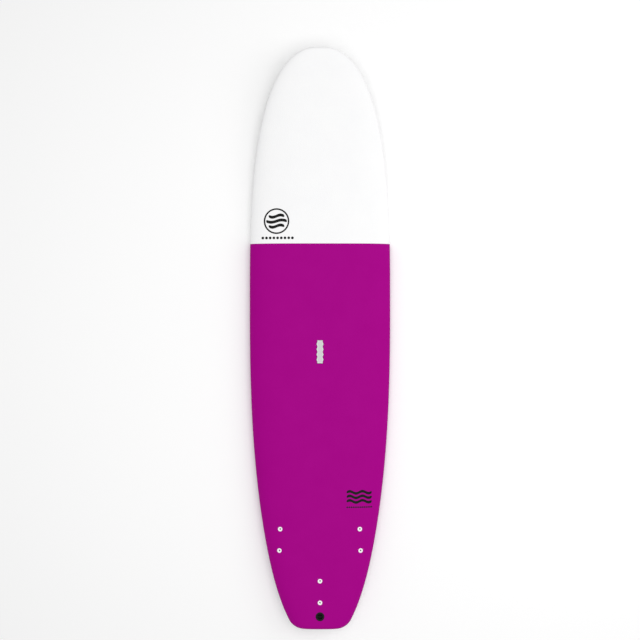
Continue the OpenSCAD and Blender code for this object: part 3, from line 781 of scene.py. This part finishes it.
tab_start, tab_half, tab_len, tab_t, ledge = 0.0437, 0.010, 0.013, 0.003, 0.009
tab_round, tab_chamfer = 0.0007, 0.0003
for end, sign in (("front", 1), ("rear", -1)):
    # Stations from the middle to the outer end, which is rounded over by the corner radius
    y = sign * np.linspace(0, strap_half, 97)
    points, rims = strap_bar(y)
    # It is rounded over less from side to side than from top to bottom
    end_drop = arc_drop(strap_half - np.abs(y), corner_r)[:, None, None]
    middle = strap_at - [0, 0, strap_t / 2]
    inward = np.sign(points - middle) * [1, 0, 1]
    points = points - inward * np.minimum(end_drop, np.abs(points - middle)) * [0.6, 0, 1]
    strap = (points.reshape(-1, 3), quads(len(y), points.shape[1], False, True), rims)
    # The tab under the skin and the neck that joins it to the strap's end, as one bent plate
    bend = softened([(tab_start, -strap_t), (tab_start, -ledge), (tab_start + tab_len, -ledge),
                     (tab_start + tab_len, -ledge + tab_t), (strap_half, -ledge + tab_t),
                     (strap_half, -strap_t)], tab_round)
    # Its four loops across; the outer two are drawn in by the chamfer
    plate_x = np.array([-tab_half, tab_chamfer - tab_half, tab_half - tab_chamfer, tab_half])
    shrink = np.array([tab_chamfer, 0, 0, tab_chamfer])[:, None, None]
    drawn_in = (bend - np.sign(bend - bend.mean(0)) * shrink) * [sign, 1]
    plate = np.stack([np.broadcast_to(plate_x[:, None], drawn_in.shape[:2]), drawn_in[..., 0],
                      drawn_in[..., 1]], -1) + strap_at
    loop = np.arange(len(bend))
    tab = (plate.reshape(-1, 3), quads(4, len(loop), False, True), [loop, loop[::-1] + 3 * len(loop)])
    made = new_piece("strap_" + end, joined(strap, tab), strap_rubber, sharp_deg=50)
    at = np.empty(len(made.data.vertices) * 3, np.float32)
    made.data.vertices.foreach_get("co", at)
    at = at.reshape(-1, 3) - strap_at
    # The rim attribute places the painted highlight: 1 on the rim, 0 on the pad
    shown = made.data.attributes.new("rim", "FLOAT", "POINT")
    shown.data.foreach_set("value", (1 - pad_share(at[:, 0], at[:, 1])).astype(np.float32))
    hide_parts("handle_grip", "strap_end_" + end)
    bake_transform(made)

tray_plastic = nylon("grey_polypropylene", "8C8C8E", "828285", 0.48, 0.6)
repaint(["handle_tray"], tray_plastic)
repaint(["strap_rivet_front", "strap_rivet_rear"], black_nylon)

# The slot for the strap, die-cut through the deck skin with the strap's own outline
slot_below, slot_above = 0.015, 0.01
slot_y = np.linspace(-1, 1, 121) * (strap_half + strap_gap)
slot_x = strap_width(slot_y) + strap_gap
slot_edge = np.concatenate([np.stack([slot_x, slot_y], 1), np.stack([-slot_x[::-1], slot_y[::-1]], 1)])
slot_rings = np.stack([np.c_[slot_edge + strap_at[:2], np.full(len(slot_edge), z)]
                       for z in (thick_mid - slot_below, thick_mid + slot_above)])
slot_loop = np.arange(len(slot_edge))
strap_slot = (slot_rings.reshape(-1, 3), quads(2, len(slot_edge), False, True),
              [slot_loop, slot_loop[::-1] + len(slot_edge)])
cup_seat_r, leash_seat_r, cup_hole_len = cup_r + clearance, leash_r + clearance, cup_len + spare
cup_hole = turned([(-cup_hole_len, 0), (-cup_hole_len, cup_seat_r), (-cup_flange, cup_seat_r),
                   (-cup_flange, leash_seat_r), (past, leash_seat_r), (past, 0)], cup_at, cup_up)
cap_hole = turned([(-past, 0), (-past, leash_seat_r), (past, leash_seat_r), (past, 0)], cap_at, cap_up)
cut(main_foam, [joined(*recesses, cup_hole, strap_slot), joined(*shafts)])
cut(slick_sheet, [joined(*foot_holes, cap_hole)])

# ---------------------------------------------------------------------------------------------
# Printed marks
# Thin black heat-transfer films, pressed on the deck: a roundel of wave strokes over a row of
# dots on the nose, and three wave strokes over a row of smaller dots on the right of the tail.
# ---------------------------------------------------------------------------------------------
film_t = 0.00015
# Heat-transfer vinyl: black, a little glossier than the foam, with the foam's pebble showing through
film, tree, surface, place = new_material("black_transfer_film", IOR=1.5, Specular_IOR_Level=0.12)
cloud = add(tree, "ShaderNodeTexNoise", ("Vector", place), ("Scale", 1 / 0.03), ("Detail", 2.0))
shade = add(tree, "ShaderNodeMix", (0, cloud.outputs["Fac"]), (6, linear("0E0E0E")), (7, linear("0A0A0A")),
            data_type="RGBA")
tree.links.new(shade.outputs[2], surface.inputs["Base Color"])
rough = add(tree, "ShaderNodeMapRange", ("Value", cloud.outputs["Fac"]), ("To Min", 0.4), ("To Max", 0.5))
tree.links.new(rough.outputs[0], surface.inputs["Roughness"])
cells = add(tree, "ShaderNodeTexVoronoi", ("Vector", place), ("Scale", 1 / 0.0022), feature="SMOOTH_F1")
pebble = add(tree, "ShaderNodeBump", ("Height", cells.outputs["Distance"]), ("Strength", 0.1),
             ("Distance", 0.0003), invert=True)
tree.links.new(pebble.outputs[0], surface.inputs["Normal"])


def pressed_on(plan):
    """Top and underside of a film over plan points, its thickness above the deck and as far below it."""
    x, y = plan[..., 0], plan[..., 1]
    on_deck = np.stack([x, y, deck_height(x, y)], -1)
    n = deck_normal(x, y)
    return on_deck + film_t * n, on_deck - film_t * n


def wave_stroke(centre, half, thick, rise=0.0, waves=1.0, columns=48):
    """A film stroke of that half length and thickness, whose line is a sine of that rise and so many waves.

    It narrows to nothing over half its thickness at each end, along a circle.
    """
    s = np.sin(np.pi / 2 * np.linspace(-1, 1, columns))[None, :]
    t = np.linspace(-0.5, 0.5, 7)[:, None]
    to_end = np.clip((1 - np.abs(s)) * half / (thick / 2), 0, 1)
    wide = thick * np.sqrt(1 - (1 - to_end) ** 2)
    line = rise * np.sin(np.pi * waves * s)
    plan = np.stack(np.broadcast_arrays(centre[0] + half * s, centre[1] + line + t * wide), -1)
    return layer(*pressed_on(plan))


def ring_film(centre, inner, outer):
    """A ring film between two radii, as circles over its top and back along its underside."""
    turn = np.linspace(0, 2 * np.pi, 97)[None, :-1]
    r = np.linspace(inner, outer, 3)[:, None]
    top, under = pressed_on(np.stack([centre[0] + r * np.cos(turn), centre[1] + r * np.sin(turn)], -1))
    points = np.concatenate([top, under[::-1]])
    return points.reshape(-1, 3), quads(len(points), points.shape[1], True, True), []


def dot_row(first_x, last_x, count, y, radius):
    """A row of round dots, each a stroke as long as it is thick."""
    return [wave_stroke((x, y), radius, 2 * radius, columns=16) for x in np.linspace(first_x, last_x, count)]


roundel = np.array([-0.183, 0.497])
roundel_r, ring_w, row_pitch, stroke_margin = 0.054, 0.0065, 0.021, 0.009
stroke_t, stroke_rise = 0.0125, 0.0046
nose_dots_x, nose_dots_y, nose_dot_r = (-0.241, -0.116), 0.4265, 0.0057
nose_films = [ring_film(roundel, roundel_r - ring_w, roundel_r)]
for up in (row_pitch, 0.0, -row_pitch):
    # Each stroke stops a margin short of the ring: its half length is one side of a right triangle
    half = np.sqrt((roundel_r - stroke_margin) ** 2 - (abs(up) + stroke_margin) ** 2)
    nose_films.append(wave_stroke(roundel + [0, up], half, stroke_t, rise=stroke_rise))
nose_films += dot_row(*nose_dots_x, 9, nose_dots_y, nose_dot_r)
tail_mark = np.array([0.165, -0.663])
tail_half, tail_t, tail_rise, tail_pitch = 0.0535, 0.0115, 0.0045, 0.019
tail_dots_x, tail_dots_y, tail_dot_r = tail_mark[0] + np.array([-0.0505, 0.0505]), -0.7065, 0.0035
tail_films = [wave_stroke(tail_mark + [0, up], tail_half, tail_t, rise=tail_rise, waves=2.0)
              for up in (tail_pitch, 0.0, -tail_pitch)]
tail_films += dot_row(*tail_dots_x, 12, tail_dots_y, tail_dot_r)
for name, films, slot in (("nose_mark", nose_films, "skin_white"),
                          ("tail_mark", tail_films, "skin_magenta")):
    made = new_piece(name, joined(*films), film)
    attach(made, "board")
